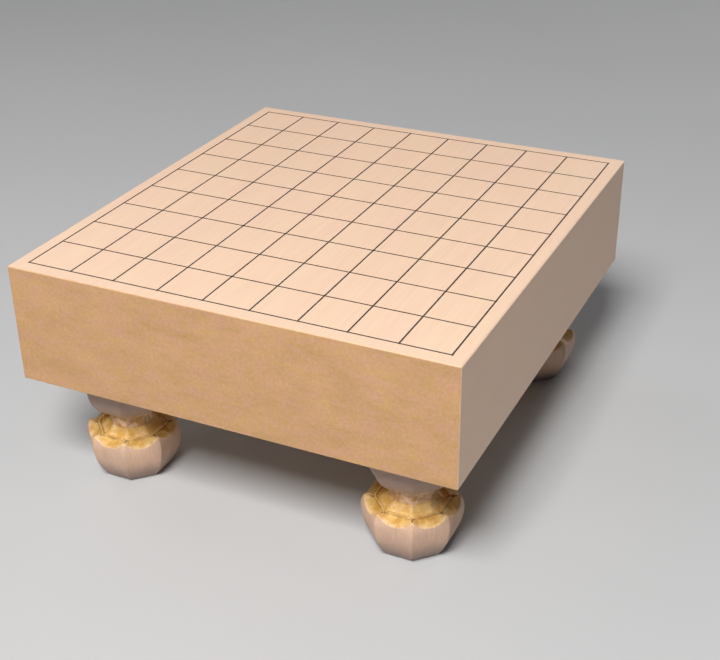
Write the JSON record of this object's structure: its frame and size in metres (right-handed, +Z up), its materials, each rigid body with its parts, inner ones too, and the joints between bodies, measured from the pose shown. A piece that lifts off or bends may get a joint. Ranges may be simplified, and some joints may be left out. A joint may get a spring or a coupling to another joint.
{
  "type": "legged shogi board",
  "caption": "Thick pale wood shogi board with a raised black lacquer grid and star points, standing low on carved octagonal bud-shaped legs that tap into its underside",
  "frame": {"origin": "on the floor, under the middle of the board", "axes": "X across the board as a player sees it, Y from the near player to the far one, Z up"},
  "size_m": [0.333, 0.364, 0.1791],
  "materials": {
    "board_wood": "planed and waxed pale straight-grained softwood",
    "leg_wood": "chisel-cut pale wood, waxed, with ochre end grain",
    "lacquer": "raised black lacquer, satin"
  },
  "bodies": {
    "board": {"board": "board_wood", "grid_lines": "lacquer", "star_points": "lacquer"},
    "leg_front_left": {"leg_front_left": "leg_wood"},
    "leg_front_right": {"leg_front_right": "leg_wood"},
    "leg_rear_left": {"leg_rear_left": "leg_wood"},
    "leg_rear_right": {"leg_rear_right": "leg_wood"}
  },
  "joints": [
    {"name": "front_left_leg_slide", "type": "slide", "parent": "board", "child": "leg_front_left", "axis": [0, 0, -1], "range_m": [0, 0.03]},
    {"name": "front_right_leg_slide", "type": "slide", "parent": "board", "child": "leg_front_right", "axis": [0, 0, -1], "range_m": [0, 0.03]},
    {"name": "rear_left_leg_slide", "type": "slide", "parent": "board", "child": "leg_rear_left", "axis": [0, 0, -1], "range_m": [0, 0.03]},
    {"name": "rear_right_leg_slide", "type": "slide", "parent": "board", "child": "leg_rear_right", "axis": [0, 0, -1], "range_m": [0, 0.03]}
  ]
}
